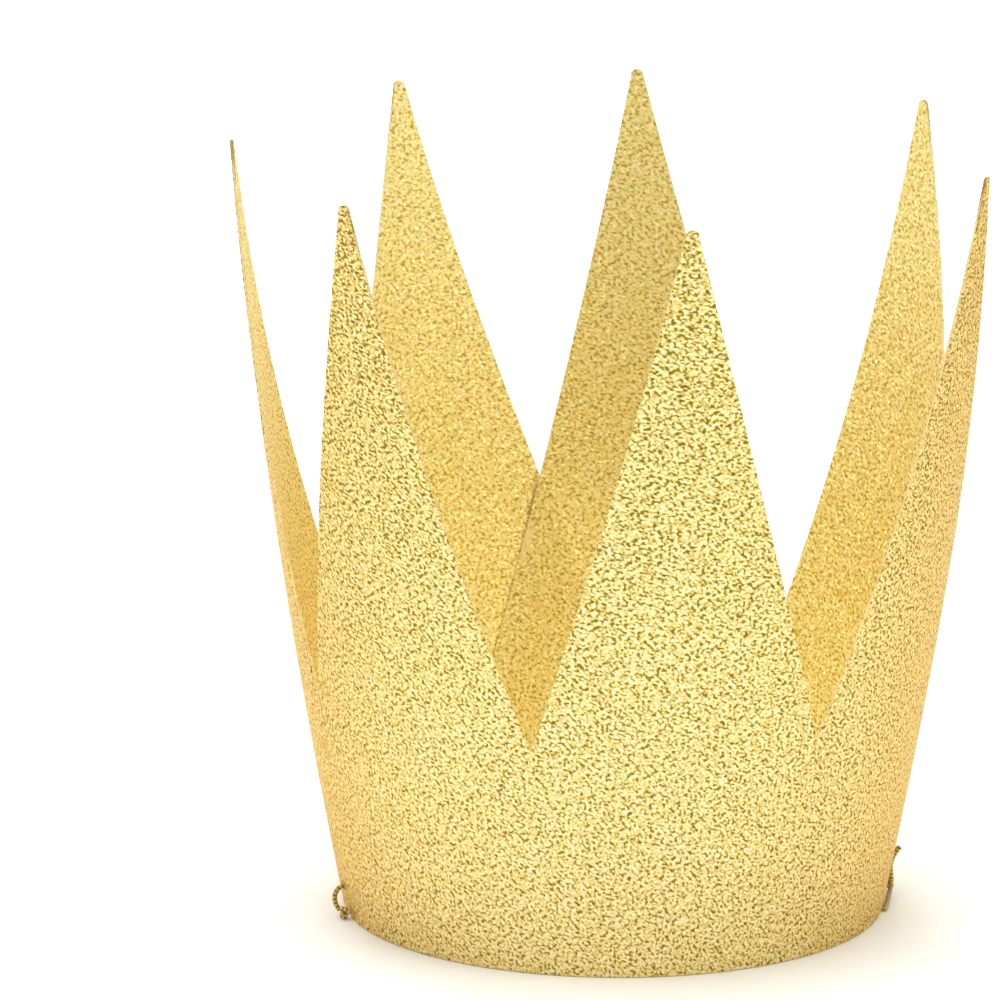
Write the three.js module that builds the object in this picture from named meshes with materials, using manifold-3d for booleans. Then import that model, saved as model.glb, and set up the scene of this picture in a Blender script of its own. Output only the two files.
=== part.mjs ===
// A party crown cut from one strip of double-sided glitter card, rolled into a flared ring and
// taped at the back, with a gold elastic cord tied through two punched holes.
//
// Millimetres, +Z up. The crown stands on its rim at z = 0. Azimuth is measured from the front
// (-Y) towards +X, and slant is the distance up the card from the rim. The card is a sheet, so
// every card layer is a grid of (slant, azimuth) places given a thickness along the radius.

import * as THREE from 'three';
import { mergeVertices } from 'three/addons/utils/BufferGeometryUtils.js';
import Module from 'manifold-3d';

const wasm = await Module();
wasm.setup();

const DEG = Math.PI / 180;

// ---- driving dimensions -------------------------------------------------------------------

const RIM_RADIUS = 50;          // middle of the card at the rim
const FLARE = 0.202;            // outward slope of the wall at the rim
const FLARE_EASE = 0.000365;    // how fast that slope eases off with height, per mm
const NOTCH_SLANT = 44.5;       // rim to the bottom of a notch
const TIP_SLANT = 145.5;        // rim to the rounded tip of a point
const APEX_SLANT = 149.5;       // rim to where the two straight edges of a point would meet
const POINT_COUNT = 7;
const POINT_PITCH = 53.6;       // degrees of azimuth from one point to the next
const END_CORNER_SLANT = 4;     // the strip's slanting ends are clipped square below this
const SEAM_LAP = 1.1;           // radius lost over one turn, so that the ends lie on each other

// The ring is not quite round: the wall on the left is pressed in, most of all behind the tie.
const PRESS = 1.3;
const PRESS_AZIMUTH = -97;

const CARD_THICKNESS = 0.3;
const GLITTER_THICKNESS = 0.1;
const GLUE_GAP = 0.03;          // clearance between the card and each glitter layer
const GLITTER_LIFT = 0.2;       // the glitter stops this far above the rim the crown stands on

const FLEX_SLANT = 76;          // line that a point bends about, above the crossing at the seam
const FLEX_GAP = 1;

const HOLE_AZIMUTHS = [-89, 87];
const HOLE_HEIGHT = 6;
const HOLE_RADIUS = 0.9;
const NICK_RADIUS = 1.2;        // where the tied elastic has bitten into the rim
const NICK_HEIGHT = 0.3;

const TAPE_WIDTH_DEG = 12;
const TAPE_THICKNESS = 0.1;
const TAPE_SLANTS = [4, 15, 27, 40];

const ELASTIC_RADIUS = 0.45;
const KNOT_RADIUS = 1.05;

// The cone's axis stands a little off the origin, so that the box round the card is centred.
const AXIS_X = 1.289;
const AXIS_Y = 2.659;

// The points in order round the strip, with the sideways drift of each tip in degrees and its
// lean away from the axis in mm: hand-rolled card is never quite even.
const POINTS = [
  { name: 'back_left', sway: 4.4, lean: -1.8 },
  { name: 'left', sway: 2.3, lean: -0.4 },
  { name: 'front_left', sway: -1.8, lean: 0 },
  { name: 'front', sway: -1.4, lean: 0 },
  { name: 'front_right', sway: 4, lean: -0.4 },
  { name: 'right', sway: 6.7, lean: -0.6 },
  { name: 'back_right', sway: 3.7, lean: -2.6 },
];

// ---- the flat blank -----------------------------------------------------------------------

// Unrolled, the flared strip is a ring sector about the cone's apex, and the edges of a point
// are straight lines in it. EDGE_ANGLE is the angle of those lines to the point's middle line.

const SIN_FLARE = FLARE / Math.hypot(1, FLARE);
const COS_FLARE = 1 / Math.hypot(1, FLARE);
const RIM_REACH = RIM_RADIUS / SIN_FLARE;
const APEX_REACH = RIM_REACH + APEX_SLANT;
const NOTCH_REACH = RIM_REACH + NOTCH_SLANT;
const NOTCH_ANGLE = POINT_PITCH / 2 * DEG * SIN_FLARE;
const EDGE_ANGLE = Math.atan2(
  NOTCH_REACH * Math.sin(NOTCH_ANGLE),
  APEX_REACH - NOTCH_REACH * Math.cos(NOTCH_ANGLE),
);
const TIP_ROUND = (APEX_SLANT - TIP_SLANT) / (1 / Math.sin(EDGE_ANGLE) - 1);
const TIP_CENTRE = TIP_SLANT - TIP_ROUND;
const TIP_TANGENT = TIP_CENTRE + TIP_ROUND * Math.sin(EDGE_ANGLE);

function radiusAt(slant) {
  const height = slant * COS_FLARE;
  return RIM_RADIUS + FLARE * height - FLARE_EASE * height * height;
}

// Degrees from a point's middle line to its edge, at a slant.
function halfWidth(slant) {
  if (slant > TIP_TANGENT) {
    const half = Math.sqrt(Math.max(0, TIP_ROUND ** 2 - (slant - TIP_CENTRE) ** 2));
    return half / radiusAt(slant) / DEG;
  }
  const turn = Math.asin(APEX_REACH * Math.sin(EDGE_ANGLE) / (RIM_REACH + slant));
  return (turn - EDGE_ANGLE) / SIN_FLARE / DEG;
}

// The reverse: the slant at which the edge lies that many degrees from the middle line.
function slantOfEdge(degrees) {
  const turn = degrees * DEG * SIN_FLARE + EDGE_ANGLE;
  return APEX_REACH * Math.sin(EDGE_ANGLE) / Math.sin(turn) - RIM_REACH;
}

const pointAzimuth = (index) => (index - (POINT_COUNT - 1) / 2) * POINT_PITCH;

// A place in the pressed ring, from the azimuth, radius and height it has in a round one.
function ringPlace(azimuth, radius, height) {
  const pressed = PRESS * ((1 + Math.cos((azimuth - PRESS_AZIMUTH) * DEG)) / 2) ** 2;
  const turn = azimuth * DEG;
  const reach = radius - pressed;
  return new THREE.Vector3(reach * Math.sin(turn), -reach * Math.cos(turn), height);
}

// A place on the card, out from its middle surface by offset.
function place({ slant, azimuth, index }, offset) {
  const rise = Math.max(0, (slant - NOTCH_SLANT) / (TIP_SLANT - NOTCH_SLANT));
  const { sway, lean } = POINTS[index];
  const radius = radiusAt(slant) + lean * rise ** 1.5 - SEAM_LAP * azimuth / 360 + offset;
  return ringPlace(azimuth + sway * rise, radius, slant * COS_FLARE);
}

// ---- solids -------------------------------------------------------------------------------

// A closed sheet over a grid of places, from the inner to the outer offset.
function sheetSolid(grid, inner, outer) {
  const rows = grid.length;
  const columns = grid[0].length;
  const size = rows * columns;
  const points = [outer, inner].flatMap((offset) => grid.flat().map((at) => place(at, offset)));
  const index = [];
  const quad = (a, b, c, d) => index.push(a, b, c, a, c, d);
  for (let row = 0; row + 1 < rows; row += 1) {
    for (let column = 0; column + 1 < columns; column += 1) {
      const a = row * columns + column;
      const c = a + columns + 1;
      quad(a, a + 1, c, c - 1);
      quad(size + a, size + c - 1, size + c, size + a + 1);
    }
  }
  const border = [];
  for (let column = 0; column < columns; column += 1) border.push(column);
  for (let row = 1; row < rows; row += 1) border.push(row * columns + columns - 1);
  for (let column = columns - 2; column >= 0; column -= 1) border.push(size - columns + column);
  for (let row = rows - 2; row > 0; row -= 1) border.push(row * columns);
  border.forEach((from, step) => {
    const to = border[(step + 1) % border.length];
    quad(to, from, size + from, size + to);
  });
  const geometry = new THREE.BufferGeometry().setFromPoints(points);
  geometry.setIndex(index);
  return geometry;
}

function toManifold(geometry) {
  const bare = geometry.clone();
  bare.deleteAttribute('normal');
  bare.deleteAttribute('uv');
  const merged = mergeVertices(bare, 1e-5);
  return new wasm.Manifold(new wasm.Mesh({
    numProp: 3,
    vertProperties: merged.attributes.position.array,
    triVerts: new Uint32Array(merged.index.array),
  }));
}

function toGeometry(manifold) {
  const { vertProperties, triVerts } = manifold.getMesh();
  const geometry = new THREE.BufferGeometry();
  geometry.setAttribute('position', new THREE.BufferAttribute(vertProperties, 3));
  geometry.setIndex(new THREE.BufferAttribute(triVerts, 1));
  return geometry;
}

// A rod straight out from the axis through the wall, at one tie.
function crossRod(radius, height, azimuth) {
  const rod = new THREE.CylinderGeometry(radius, radius, RIM_RADIUS, 12);
  rod.rotateZ(Math.PI / 2);
  rod.translate(RIM_RADIUS, 0, height);
  rod.rotateZ((azimuth - 90) * DEG);
  return toManifold(rod);
}

const holePunch = HOLE_AZIMUTHS
  .flatMap((azimuth) => [
    crossRod(HOLE_RADIUS, HOLE_HEIGHT, azimuth), crossRod(NICK_RADIUS, NICK_HEIGHT, azimuth),
  ])
  .reduce((all, rod) => all.add(rod));

// A round tube through places given as [azimuth, radius, height].
function elasticTube(route, steps) {
  const path = new THREE.CatmullRomCurve3(route.map((entry) => ringPlace(...entry)));
  const section = new THREE.Shape();
  section.absarc(0, 0, ELASTIC_RADIUS, 0, 2 * Math.PI);
  return new THREE.ExtrudeGeometry(section, { extrudePath: path, steps, curveSegments: 4 });
}

// ---- the card and its glitter ---------------------------------------------------------------

const FLEX_HALF = halfWidth(FLEX_SLANT);
const END_HALF = halfWidth(END_CORNER_SLANT);
const HALF_PITCH = POINT_PITCH / 2;
const BAND_ROWS = [0, 0.34, 0.67, 1];
const INNER_COLUMNS = [-1, -0.5, 0, 0.5, 1].map((share) => share * FLEX_HALF);
const EDGE_STEP = (HALF_PITCH + FLEX_HALF) / 2;
const END_STEPS = [HALF_PITCH, 32, 38, END_HALF];

// Columns of one point's share of the band, as degrees from its middle line.
function bandColumns(index) {
  const first = index === 0;
  const last = index === POINT_COUNT - 1;
  const left = first ? END_STEPS.map((half) => -half).reverse() : [-HALF_PITCH];
  const right = last ? END_STEPS : [];
  return [...left, -EDGE_STEP, ...INNER_COLUMNS, EDGE_STEP, ...right];
}

// The band reaches up into the root of each point, to the line that the point bends about.
function bandGrid(lowest) {
  const columns = POINTS.flatMap((point, index) => bandColumns(index).map((degrees) => {
    const top = Math.min(FLEX_SLANT - FLEX_GAP / 2, slantOfEdge(Math.max(1, Math.abs(degrees))));
    return { index, azimuth: pointAzimuth(index) + degrees, top };
  }));
  return BAND_ROWS.map((share) => columns.map(({ index, azimuth, top }) => (
    { index, azimuth, slant: lowest + (top - lowest) * share }
  )));
}

const POINT_ROWS = [
  FLEX_SLANT + FLEX_GAP / 2, 90, 105, 120, 134, TIP_TANGENT,
  TIP_CENTRE + 0.7 * TIP_ROUND, TIP_CENTRE + 0.97 * TIP_ROUND,
];

function pointGrid(index) {
  return POINT_ROWS.map((slant) => [-1, -0.5, 0, 0.5, 1].map((share) => (
    { index, slant, azimuth: pointAzimuth(index) + share * halfWidth(slant) }
  )));
}

const HALF_CARD = CARD_THICKNESS / 2;
const GLITTER_NEAR = HALF_CARD + GLUE_GAP;
const GLITTER_FAR = GLITTER_NEAR + GLITTER_THICKNESS;

const LAYERS = [
  { layer: 'card', inner: -HALF_CARD, outer: HALF_CARD, lowest: 0, colour: 0xc9a24a },
  { layer: 'outer_glitter', inner: GLITTER_NEAR, outer: GLITTER_FAR, lowest: GLITTER_LIFT, colour: 0xe3c368 },
  { layer: 'inner_glitter', inner: -GLITTER_FAR, outer: -GLITTER_NEAR, lowest: GLITTER_LIFT, colour: 0xdcb55a },
];

function finish(colour, metalness, roughness) {
  return new THREE.MeshStandardMaterial({ color: colour, metalness, roughness });
}

const crown = new THREE.Group();

function addPiece(name, geometry, material) {
  const mesh = new THREE.Mesh(geometry, material);
  mesh.name = name;
  mesh.position.set(AXIS_X, AXIS_Y, 0);
  crown.add(mesh);
}

for (const { layer, inner, outer, lowest, colour } of LAYERS) {
  const band = toManifold(sheetSolid(bandGrid(lowest), inner, outer)).subtract(holePunch);
  addPiece(`band_${layer}`, toGeometry(band), finish(colour, 0.6, 0.45));
  POINTS.forEach(({ name }, index) => {
    const sheet = sheetSolid(pointGrid(index), inner, outer);
    addPiece(`point_${name}_${layer}`, sheet, finish(colour, 0.6, 0.45));
  });
}

// ---- the seam tape --------------------------------------------------------------------------

// It lies between the strip's two ends, behind the back of the ring.
function tapeGrid() {
  return TAPE_SLANTS.map((slant) => [-1, -0.34, 0.34, 1].map((share) => (
    { index: POINT_COUNT - 1, slant, azimuth: 180 + share * TAPE_WIDTH_DEG / 2 }
  )));
}

const BETWEEN_ENDS = SEAM_LAP / 2;
const tape = sheetSolid(tapeGrid(), BETWEEN_ENDS - TAPE_THICKNESS / 2, BETWEEN_ENDS + TAPE_THICKNESS / 2);
addPiece('seam_tape', tape, finish(0xf2ead2, 0, 0.6));

// ---- the elastic and its ties ---------------------------------------------------------------

// One length of elastic lies slack on the surface inside the ring. It comes in under the rim at
// the left tie, goes round behind to the right, turns back inside itself, and goes all the way
// round the other way to the right tie. Each entry is [azimuth, radius, height].
const ELASTIC_ROUTE = [
  [-89, 50.6, 0.72], [-89, 49, 0.6], [-91, 47, 0.5], [-99, 45, 0.5], [-115, 43.8, 0.5],
  [-140, 43.2, 0.5], [-165, 43.6, 0.5], [-190, 43, 0.5], [-215, 43.4, 0.5], [-238, 43, 0.5],
  [-254, 42.2, 0.5], [-264, 39, 0.5], [-265, 34.5, 0.5], [-256, 31.4, 0.5], [-240, 31, 0.5],
  [-215, 31.8, 0.5], [-190, 31.4, 0.5], [-165, 32.6, 0.5], [-140, 33.4, 0.5], [-115, 34.6, 0.5],
  [-90, 36.4, 0.5], [-65, 37, 0.5], [-40, 38.6, 0.5], [-15, 39.6, 0.5], [10, 41.4, 0.5],
  [35, 42.2, 0.5], [58, 43.6, 0.5], [74, 45, 0.5], [83.5, 46.8, 0.5], [87, 49, 0.6],
  [87, 50.6, 0.72],
];
const ELASTIC_STEPS = 80;

// Each tie is a short loop through the hole and over the rim, closed by a knot outside. The left
// one is slack and bulges. At the right, one free end lies forward along the rim and the other
// stands up past the knot. Azimuths in the loops are counted from the hole.
const LOOP_ROUTES = [
  [
    [0, 48.6, 1.9], [0, 48.7, 3.6], [0, 49.4, 5.3], [0, 50.9, 6], [0, 52.5, 5.6], [0, 53.4, 4.5],
    [0, 53.1, 3.3],
  ],
  [
    [0, 48.6, 1.9], [0, 48.7, 3.6], [0, 49.4, 5.3], [0, 50.9, 6], [0, 51.9, 5.3], [0, 52.1, 4.2],
    [0, 52.1, 3.3],
  ],
];
const LOOP_STEPS = 10;
const TAIL_ROUTE = [
  [72, 50.9, 0.5], [77, 51.3, 0.6], [81, 51.9, 0.9], [84, 52.4, 1.9], [84.8, 52.4, 3.5],
  [84.9, 52.1, 5.2], [84.5, 52.3, 6.6], [83.9, 52.8, 8], [83.4, 53.5, 9.2],
];
const TAIL_STEPS = 14;
const KNOT_REACH = 52.1;
const KNOT_HEIGHT = 1.75;
const KNOT_FLATTENING = 0.9;
const GOLD_THREAD = 0xb8892c;

addPiece('chin_elastic', elasticTube(ELASTIC_ROUTE, ELASTIC_STEPS), finish(GOLD_THREAD, 0.3, 0.5));

HOLE_AZIMUTHS.forEach((tieAzimuth, side) => {
  const name = ['left', 'right'][side];
  const route = LOOP_ROUTES[side].map(([azimuth, ...rest]) => [azimuth + tieAzimuth, ...rest]);
  addPiece(`${name}_tie_loop`, elasticTube(route, LOOP_STEPS), finish(GOLD_THREAD, 0.3, 0.5));
  const knot = new THREE.SphereGeometry(KNOT_RADIUS, 12, 8);
  knot.scale(KNOT_FLATTENING, 1, 1);
  knot.rotateX(Math.PI / 2);
  knot.rotateZ((tieAzimuth - 90) * DEG);
  knot.translate(...ringPlace(tieAzimuth, KNOT_REACH, KNOT_HEIGHT));
  addPiece(`${name}_tie_knot`, knot, finish(GOLD_THREAD, 0.3, 0.5));
});
addPiece('right_tie_tail', elasticTube(TAIL_ROUTE, TAIL_STEPS), finish(GOLD_THREAD, 0.3, 0.5));

export default crown;
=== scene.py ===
# %% [markdown]
# # A party crown of gold glitter card
#
# The real object is one strip of stiff card, laminated with glitter on both faces, die-cut with
# seven tall points, rolled into a flared ring and taped at the back. A thin gold elastic is tied
# through two punched holes. The shape is nearly all in one curved sheet, so the lesson is about
# describing that sheet once, as a function of two numbers, and then making every layer from it.
# The looks are all in the glitter: thousands of small tilted flakes, some bright and some dark.

import bpy
import numpy as np
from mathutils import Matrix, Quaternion, Vector


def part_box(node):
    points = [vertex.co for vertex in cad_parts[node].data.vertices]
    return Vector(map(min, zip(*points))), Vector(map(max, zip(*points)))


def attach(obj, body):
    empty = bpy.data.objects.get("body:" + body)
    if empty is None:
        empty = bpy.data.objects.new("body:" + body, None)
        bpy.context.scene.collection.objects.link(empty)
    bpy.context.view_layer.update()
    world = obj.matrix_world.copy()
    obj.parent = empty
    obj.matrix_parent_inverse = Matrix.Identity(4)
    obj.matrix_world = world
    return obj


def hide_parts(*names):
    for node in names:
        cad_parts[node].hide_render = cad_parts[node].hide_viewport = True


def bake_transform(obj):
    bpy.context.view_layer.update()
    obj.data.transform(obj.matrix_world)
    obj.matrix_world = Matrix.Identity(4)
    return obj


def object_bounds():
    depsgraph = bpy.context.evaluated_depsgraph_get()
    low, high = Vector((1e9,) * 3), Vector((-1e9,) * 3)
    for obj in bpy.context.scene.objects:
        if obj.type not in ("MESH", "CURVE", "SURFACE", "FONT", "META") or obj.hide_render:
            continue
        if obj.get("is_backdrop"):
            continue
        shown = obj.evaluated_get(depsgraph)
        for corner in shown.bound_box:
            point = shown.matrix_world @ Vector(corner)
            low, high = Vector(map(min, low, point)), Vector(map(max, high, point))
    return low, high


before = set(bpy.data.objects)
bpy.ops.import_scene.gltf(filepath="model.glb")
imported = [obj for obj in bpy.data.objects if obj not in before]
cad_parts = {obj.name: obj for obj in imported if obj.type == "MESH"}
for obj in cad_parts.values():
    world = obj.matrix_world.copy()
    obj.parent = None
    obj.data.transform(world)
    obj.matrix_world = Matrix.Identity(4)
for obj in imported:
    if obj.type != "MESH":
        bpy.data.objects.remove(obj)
cad_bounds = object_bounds()
MM = 0.001


def box_of(node):
    """The lowest and highest corner of a CAD node at rest, as two arrays in metres."""
    return tuple(np.array(corner, float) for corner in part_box(node))


# %% [markdown]
# ## The sizes that shape the card
#
# These repeat the driving dimensions of the CAD model, in metres and radians. A flat strip of
# card that flares is a ring sector: its edges are arcs about one far centre, and the sides of
# each point are straight lines. The radius of the rolled wall follows from the slope, which
# eases off a little towards the tips, because card springs back where nothing holds it. Nor is
# the ring quite round: it is pressed in a little at the left.

# %% Driving sizes
RIM_RADIUS = 50 * MM
FLARE = 0.202
FLARE_EASE = 0.000365 / MM
NOTCH_SLANT = 44.5 * MM
TIP_SLANT = 145.5 * MM
APEX_SLANT = 149.5 * MM
FLEX_SLANT = 76 * MM
END_CORNER_SLANT = 4 * MM
SEAM_LAP = 1.1 * MM
POINT_PITCH = np.radians(53.6)
AXIS = np.array([1.289, 2.659, 0]) * MM
PRESS = 1.3 * MM
PRESS_AZIMUTH = np.radians(-97)

POINTS = ["back_left", "left", "front_left", "front", "front_right", "right", "back_right"]
SWAY = np.radians([4.4, 2.3, -1.8, -1.4, 4, 6.7, 3.7])
LEAN = np.array([-1.8, -0.4, 0, 0, -0.4, -0.6, -2.6]) * MM
MIDDLES = (np.arange(len(POINTS)) - (len(POINTS) - 1) / 2) * POINT_PITCH

CARD_THICKNESS = 0.3 * MM
GLITTER_THICKNESS = 0.1 * MM
GLUE_GAP = 0.03 * MM
GLITTER_LIFT = 0.2 * MM

TIE_AZIMUTHS = {"left": np.radians(-89), "right": np.radians(87)}
HOLE_HEIGHT = 6 * MM
HOLE_RADIUS = 0.9 * MM
NICK_RADIUS = 1.2 * MM
NICK_HEIGHT = 0.3 * MM

# %% [markdown]
# ## The camera
#
# A product shot of a small crown is taken from far away with a long lens, so its lines stay
# nearly parallel. The camera stands 14 degrees above the rim's level, a little to the left of
# the front point, and it is aimed beside the crown, which puts the crown right of the middle.

# %% Camera
CAMERA_DISTANCE = 1.999
CAMERA_HEIGHT_ANGLE = np.radians(14.21)
CAMERA_AZIMUTH = np.radians(-12.33)
CAMERA_ROLL = np.radians(0.25)
LENS_MM = 393
SENSOR_MM = 36
WATCHED = AXIS + np.array([0, 0, 71.1]) * MM
AIM_RIGHT = -20.85 * MM
AIM_UP = 4.92 * MM


def make_camera():
    """Place the camera on a sphere round the crown, then turn it to an aim point beside it.

    back points from the crown to the camera; right and up span its view. The aim point is the
    watched point plus a step along each of those two.
    """
    level, rise = np.cos(CAMERA_HEIGHT_ANGLE), np.sin(CAMERA_HEIGHT_ANGLE)
    back = np.array([np.sin(CAMERA_AZIMUTH) * level, -np.cos(CAMERA_AZIMUTH) * level, rise])
    right = np.array([np.cos(CAMERA_AZIMUTH), np.sin(CAMERA_AZIMUTH), 0])
    up = np.cross(back, right)
    place = WATCHED + back * CAMERA_DISTANCE
    aim = WATCHED + right * AIM_RIGHT + up * AIM_UP
    look = Vector(aim - place).to_track_quat("-Z", "Y")
    camera = bpy.data.objects.new("camera", bpy.data.cameras.new("camera"))
    camera.data.lens = LENS_MM
    camera.data.sensor_width = SENSOR_MM
    camera.data.clip_end = 20
    camera.rotation_mode = "QUATERNION"
    camera.rotation_quaternion = look @ Quaternion((0, 0, 1), CAMERA_ROLL)
    camera.location = place
    bpy.context.scene.collection.objects.link(camera)
    bpy.context.scene.camera = camera
    return camera


camera = make_camera()
print("camera at", np.round(np.array(camera.location), 3))

# %% [markdown]
# ## From arrays to a mesh
#
# Every piece below is worked out as whole arrays: a block of points, the faces that join them,
# and for each point its place on the flat blank, which becomes the UV map. One helper turns
# them into a Blender object.

# %% Mesh helper
BLANK_SCALE = 0.45


def make_piece(name, points, faces, blank=None, smooth=True, values=None):
    """Build one mesh object at the origin from an array of points and a list of face rows.

    faces is a list of integer arrays, each with one face per row. blank holds each point's
    (across, up) place on the flat blank in metres, kept in the UV map at a fixed scale. values
    maps attribute names to one number per point.
    """
    mesh = bpy.data.meshes.new(name)
    mesh.from_pydata(points.tolist(), [], [row for block in faces for row in np.asarray(block).tolist()])
    mesh.update()
    if smooth:
        mesh.shade_smooth()
    else:
        mesh.shade_flat()
    if blank is not None:
        corners = np.empty(len(mesh.loops), np.int32)
        mesh.loops.foreach_get("vertex_index", corners)
        uv = (blank / BLANK_SCALE + [0.5, 0])[corners]
        mesh.uv_layers.new(name="blank").data.foreach_set("uv", uv.astype(np.float32).ravel())
    for key, numbers in (values or {}).items():
        layer = mesh.attributes.new(key, "FLOAT", "POINT")
        layer.data.foreach_set("value", numbers.astype(np.float32))
    piece = bpy.data.objects.new(name, mesh)
    bpy.context.scene.collection.objects.link(piece)
    return piece


def grid_faces(rows, columns, first=0, wrap=False):
    """Quads of a grid stored row by row: each joins a point, its right neighbour and the two above.

    With wrap, the last column joins the first one, as round a tube.
    """
    across = np.arange(columns if wrap else columns - 1)
    base = np.arange(rows - 1)[:, None] * columns
    a, b = base + across, base + (across + 1) % columns
    return first + np.stack([a, b, b + columns, a + columns], -1).reshape(-1, 4)


# %% [markdown]
# ## The elastic cord comes first
#
# The elastic is a fixed length of something limp: a rubber core with a gold braid. Only its two
# ties are seen from the front. The rest lies slack on the table inside the ring: in under the
# rim at the left, round behind to the right, back inside itself, and all the way round the
# other way to the right tie. The places are listed as azimuth, radius and height.

# %% The elastic's route
ELASTIC_RADIUS = 0.45 * MM
ELASTIC_STEP = 0.3 * MM
CURVE_SAMPLES = 40
ELASTIC_ROUTE = [
    [-89, 50.6, 0.72], [-89, 49, 0.6], [-91, 47, 0.5], [-99, 45, 0.5], [-115, 43.8, 0.5],
    [-140, 43.2, 0.5], [-165, 43.6, 0.5], [-190, 43, 0.5], [-215, 43.4, 0.5], [-238, 43, 0.5],
    [-254, 42.2, 0.5], [-264, 39, 0.5], [-265, 34.5, 0.5], [-256, 31.4, 0.5], [-240, 31, 0.5],
    [-215, 31.8, 0.5], [-190, 31.4, 0.5], [-165, 32.6, 0.5], [-140, 33.4, 0.5], [-115, 34.6, 0.5],
    [-90, 36.4, 0.5], [-65, 37, 0.5], [-40, 38.6, 0.5], [-15, 39.6, 0.5], [10, 41.4, 0.5],
    [35, 42.2, 0.5], [58, 43.6, 0.5], [74, 45, 0.5], [83.5, 46.8, 0.5], [87, 49, 0.6],
    [87, 50.6, 0.72],
]


def ring_place(azimuth, radius, height):
    """A point in the pressed ring, from its azimuth (from -Y towards +X), radius and height.

    The press is a raised cosine squared: full at its own azimuth, nothing on the far side.
    """
    azimuth, radius, height = np.broadcast_arrays(azimuth, radius, height)
    reach = radius - PRESS * ((1 + np.cos(azimuth - PRESS_AZIMUTH)) / 2) ** 2
    flat = np.stack([reach * np.sin(azimuth), -reach * np.cos(azimuth), height], -1)
    return flat + AXIS


def route_points(route):
    """Rows of [azimuth in degrees, radius in mm, height in mm] as points in metres."""
    azimuth, radius, height = np.array(route, float).T
    return ring_place(np.radians(azimuth), radius * MM, height * MM)


def smooth_line(knots, spacing):
    """A Catmull-Rom curve through all the knots, resampled so its points are evenly spaced.

    Each stretch is the usual cubic of four neighbouring knots; the ends use a mirrored knot.
    """
    ends = [2 * knots[:1] - knots[1:2], knots, 2 * knots[-1:] - knots[-2:-1]]
    padded = np.concatenate(ends)
    t = np.linspace(0, 1, CURVE_SAMPLES, endpoint=False)[None, :, None]
    p0, p1, p2, p3 = (padded[i:len(padded) - 3 + i, None] for i in range(4))
    cubic = p1 + 0.5 * t * (p2 - p0 + t * (2 * p0 - 5 * p1 + 4 * p2 - p3 + t * (3 * (p1 - p2) + p3 - p0)))
    fine = np.concatenate([cubic.reshape(-1, 3), knots[-1:]])
    along = np.concatenate([[0], np.cumsum(np.linalg.norm(np.diff(fine, axis=0), axis=1))])
    even = np.linspace(0, along[-1], max(3, int(along[-1] / spacing)))
    return np.stack([np.interp(even, along, fine[:, axis]) for axis in range(3)], -1), along[-1]


elastic_path, elastic_length = smooth_line(route_points(ELASTIC_ROUTE), ELASTIC_STEP)
print(f"elastic: {elastic_length * 1000:.0f} mm long in {len(elastic_path)} steps")

# %% [markdown]
# ## A braided tube
#
# Braid on a thin elastic is eight flat ribbons that wind both ways and cross in small diamonds.
# A tube gets that shape from its radius: it swells a little where two waves, one winding
# left and one winding right, are both high. The same waves paint the thread's highlight and shade.

# %% Tubes
TUBE_SIDES = 20
BRAID_RIDGES = 4
BRAID_PITCH = 1.5 * MM
BRAID_DEPTH = 0.09


def normalise(vectors):
    """Each vector divided by its own length."""
    return vectors / np.linalg.norm(vectors, axis=-1, keepdims=True)


def braided_tube(name, path, radius, reference, taper=None, closed=False):
    """Carry a round section along a path and swell it in the crossing ridges of a braid.

    side is the path's direction crossed with a reference direction, and lift completes the
    frame. The radius is r (1 + depth (sin(n a + k s) sin(n a - k s))), where a is the angle round
    the section and s the distance along the path. Both ends are closed by a fan.
    """
    path = np.asarray(path, float)
    step = np.roll(path, -1, 0) - np.roll(path, 1, 0) if closed else np.gradient(path, axis=0)
    ahead = normalise(step)
    side = normalise(np.cross(ahead, reference))
    lift = np.cross(side, ahead)
    steps = np.linalg.norm(np.diff(path, axis=0), axis=1)
    along = np.concatenate([[0], np.cumsum(steps)])[:, None]
    angle = np.linspace(0, 2 * np.pi, TUBE_SIDES, endpoint=False)[None, :]
    wind = 2 * np.pi * along / BRAID_PITCH
    braid = np.sin(BRAID_RIDGES * angle + wind) * np.sin(BRAID_RIDGES * angle - wind)
    width = radius * (1 + BRAID_DEPTH * (braid - 0.5))
    if taper is not None:
        width = width * taper(along / along[-1])
    ring = np.cos(angle)[..., None] * side[:, None] + np.sin(angle)[..., None] * lift[:, None]
    points = (path[:, None] + width[..., None] * ring).reshape(-1, 3)
    rows = len(path)
    blank = np.stack(np.broadcast_arrays(angle * radius, along), -1).reshape(-1, 2)
    values = {"braid": np.broadcast_to(braid, (rows, TUBE_SIDES)).ravel()}
    if closed:
        over = np.arange(TUBE_SIDES)
        last = (rows - 1) * TUBE_SIDES
        turn = np.stack([over + last, (over + 1) % TUBE_SIDES + last, (over + 1) % TUBE_SIDES, over], -1)
        faces = [grid_faces(rows, TUBE_SIDES, wrap=True), turn]
        return make_piece(name, points, faces, blank, values=values)
    tips = path[[0, -1]] + ahead[[0, -1]] * np.array([[-0.3], [0.3]]) * radius
    points = np.concatenate([points, tips])
    blank = np.concatenate([blank, [[0, 0], [0, along[-1, 0]]]])
    values["braid"] = np.concatenate([values["braid"], [0, 0]])
    over = np.arange(TUBE_SIDES)
    beside = (over + 1) % TUBE_SIDES
    first, last = rows * TUBE_SIDES, rows * TUBE_SIDES + 1
    start = np.stack([beside, over, np.full(TUBE_SIDES, first)], -1)
    finish = np.stack([over, beside, np.full(TUBE_SIDES, last)], -1)
    finish[:, :2] += (rows - 1) * TUBE_SIDES
    faces = [grid_faces(rows, TUBE_SIDES, wrap=True), start, finish]
    return make_piece(name, points, faces, blank, values=values)


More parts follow.
